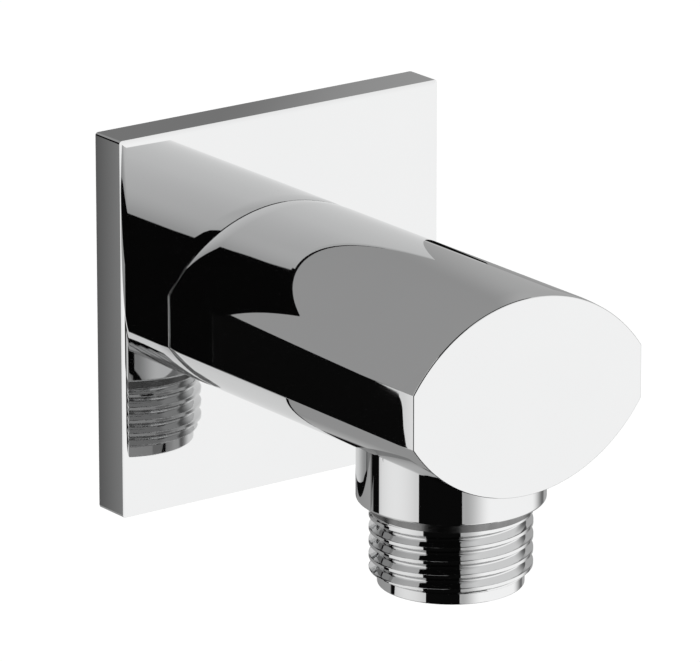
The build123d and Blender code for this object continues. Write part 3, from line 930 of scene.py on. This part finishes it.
# The tent bends round the front: a white panel to the right that fades upwards and at both ends, a greyer
# one to the left, and between them the black cloth round the camera. The cloth's edges are pairs of tilt and
# turn in degrees.
tent_centre = np.array([0, -30.0, 0])
tent_radius = 500.0
tent_highest = 72
tent_rows = 289
tent_tilt = np.linspace(-tent_highest, tent_highest, tent_rows)[:, None]
tent_left = -150.0
tent_right = 118.0
cloth_left_edge = np.array([(25, -74.5), (45, -92)])
cloth_right_edge = np.array([
    (-36, -18), (-18, -24), (13, -17), (31, -8), (40, -4.8),
    (41.5, -3.1), (42, -2), (42.5, -1.5), (43, 0), (46, 2)])
cloth_left = np.interp(np.abs(tent_tilt), *cloth_left_edge.T)
cloth_right = np.interp(tent_tilt, *cloth_right_edge.T)


def tent_turns(left, right, steps):
    """Angles round the tent, spaced evenly from the left edge of a panel to its right edge at every tilt."""
    return left + (right - left) * np.linspace(0, 1, steps)


def tent_panel(name, turn, shade):
    """A panel on the ball of the tent: turn is the angle round it and tilt the angle above the level."""
    turn_angle, tilt_angle = np.broadcast_arrays(np.radians(turn), np.radians(tent_tilt))
    ray = np.stack([np.sin(turn_angle) * np.cos(tilt_angle), -np.cos(turn_angle) * np.cos(tilt_angle),
                    np.sin(tilt_angle)], -1)
    studio_card(name, tent_centre + tent_radius * ray, shade)


# The right panel brightens away from the cloth, darkens at its far side and has a paler hem.
beside_cloth = 0.42
brightens_over = (-21, 12)
shade_by_tilt = np.array([(-4, 1), (13, 0.91), (26, 0.82), (40, 0.64)])
far_side = 0.16
darkens_over = (74, 104)
hem_gain = 0.3
hem_over = (105, 114)
right_turn = tent_turns(cloth_right, tent_right, steps=200)
right_shade = beside_cloth + (1 - beside_cloth) * ease(*brightens_over, right_turn)
right_shade = right_shade * np.interp(tent_tilt, *shade_by_tilt.T)
right_shade = right_shade + (far_side - right_shade) * ease(*darkens_over, right_turn)
tent_panel("right_panel", right_turn, right_shade + hem_gain * ease(*hem_over, right_turn))

cloth_turn = tent_turns(cloth_left, cloth_right, steps=60)
tent_panel("black_cloth", cloth_turn, np.full_like(cloth_turn, BLACK))

# The left panel has a brighter stretch in its middle and is dimmer low down.
left_plain = 0.70
stretch_gain = 0.16
stretch_at = -106
stretch_half = 28
low_loss = 0.28
low_over = (20, 28)
left_turn = tent_turns(tent_left, cloth_left, steps=80)
left_stretch = np.clip(1 - ((left_turn - stretch_at) / stretch_half) ** 2, 0, 1)
left_shade = (left_plain + stretch_gain * left_stretch) * (1 - low_loss * ease(*low_over, -tent_tilt))
tent_panel("left_panel", left_turn, left_shade)

# Behind the object hangs a grey sheet, darker in its middle and paler to the right.
backdrop_depth = 100.0
backdrop_sides = (-118.5, 300.0)
backdrop_heights = (-230.0, 250.0)
backdrop_middle = 0.2
outer_gain = 0.11
outer_over = (88, 110)
right_gain = 0.12
right_over = (85, 135)
back_columns = 140
back_rows = 160
back_side, back_rise = np.meshgrid(
    np.linspace(*backdrop_sides, back_columns), np.linspace(*backdrop_heights, back_rows))
back_reach = np.hypot(np.where(back_rise > 0, back_side, 0), back_rise)
back_shade = backdrop_middle + outer_gain * ease(*outer_over, back_reach)
back_shade = back_shade + right_gain * ease(*right_over, back_side)
back_points = np.stack([back_side, np.full_like(back_side, backdrop_depth), back_rise], -1)
studio_card("grey_backdrop", back_points, back_shade)

# Strips hang before it, black and grey. Each is a row of ribs, with the side and the height of both ends and
# one shade. They stand left and right of the body, above and below it, and beside the plate and the collar.
strip_depth = backdrop_depth - 0.5
strips = {
    "body_strip": [
        (-133.7, -70, -97.8, -70, BLACK), (-133.6, -59.3, -97.8, -59.3, BLACK),
        (-132.6, -58.4, -97.8, -58.4, BLACK), (-131, -57.4, -97.8, -57.4, BLACK),
        (-136.5, -44, -97.8, -44, BLACK), (-144, -16, -97.8, -16, BLACK),
        (-145.4, 0, -97.8, -6, BLACK), (-139.5, 42, -82, 4, BLACK), (-122, 91, -80, 69, BLACK)],
    "upper_strip": [
        (-230, 92, -118, 92, 0.307), (-230, 250, -118, 250, 0.307)],
    "front_strip": [
        (-133.6, -70, -133.6, -59.3, BLACK), (-140, -71, -140, -61, BLACK),
        (-147, -72.3, -147, -63, BLACK), (-152, -73.2, -152, -65, BLACK),
        (-158, -74.7, -158, -69.4, BLACK), (-173, -79, -173, -75.7, BLACK),
        (-200, -88.5, -200, -83.5, BLACK)],
    "side_strip": [
        (-97.8, -72, -97.8, 0, 0.23), (-90, -72, -90, 0, 0.04)],
    "collar_strip": [
        (-182, -98, -182, -82.1, 0.72), (-161, -98, -161, -75.5, 0.7),
        (-156, -98, -156, -74.2, BLACK), (-151, -98, -151, -73, BLACK),
        (-134, -98, -134, -70, BLACK), (-112, -98, -112, -70, BLACK),
        (-102, -98, -102, -72, 0.34), (-90, -98, -90, -72, 0.34),
        (-89.9, -98, -89.9, -62.5, 0.34), (30, -98, 30, -62.5, 0.31)],
    # This black strip is a painted shadow: the collar mirrors it where the shade under the plate would be.
    "plate_shadow_strip": [
        (-60, -62.5, -60, -56, BLACK), (30, -62.5, 30, -56, BLACK)],
    "right_strip": [
        (104, 9, 126, 9, 0.4), (104, 5, 126, 3, 0.62), (104, 1, 126, -1, BLACK),
        (104, -12, 124, -11, BLACK), (104, -28, 109, -27, BLACK)],
    "lower_strip": [
        (33, -125, 33, -78, 0.315), (57, -125, 57, -78, 0.43),
        (63.5, -125, 63.5, -78, BLACK), (105, -106, 105, -80, BLACK)],
}
for strip_name, ribs in strips.items():
    ribs = np.array(ribs, float)
    strip_points = np.insert(ribs[:, :4].reshape(-1, 2, 2), 1, strip_depth, -1)
    studio_card(strip_name, strip_points, np.repeat(ribs[:, 4:], 2, 1))

# Dark sheets lie below the outlet and hang above the object, each with its height and its reach to the sides
# and to the front and back.
for sheet_name, sheet_height, sheet_sides, sheet_reach in [
        ("dark_foot", -160.0, (-70.0, 70.0), (-110.0, 30.0)),
        ("dark_ceiling", 300.0, (-150.0, 220.0), (-205.0, 180.0))]:
    sheet_side, sheet_out = np.meshgrid(sheet_sides, sheet_reach)
    sheet_points = np.stack([sheet_side, sheet_out, np.full_like(sheet_side, sheet_height)], -1)
    studio_card(sheet_name, sheet_points, np.full_like(sheet_side, BLACK))

# Camera: less than a metre away, to the left of the object and a little above it. Its place and its long
# lens give the photograph's view.

camera_azimuth = np.radians(-36.3469)
camera_elevation = np.radians(17.3458)
camera_distance = 0.89164
camera_target = Vector((-0.0033472, -0.0249482, 0.0009710))
camera_back = Vector((
    np.sin(camera_azimuth) * np.cos(camera_elevation),
    -np.cos(camera_azimuth) * np.cos(camera_elevation),
    np.sin(camera_elevation),
))
camera_data = bpy.data.cameras.new("camera")
camera_data.lens = 363.22
camera_data.sensor_width = 36.0
camera = bpy.data.objects.new("camera", camera_data)
camera.location = camera_target + camera_back * camera_distance
camera.rotation_mode = "QUATERNION"
camera.rotation_quaternion = (-camera_back).to_track_quat("-Z", "Y")
bpy.context.scene.collection.objects.link(camera)
bpy.context.scene.camera = camera
bpy.context.scene.view_settings.view_transform = "Standard"
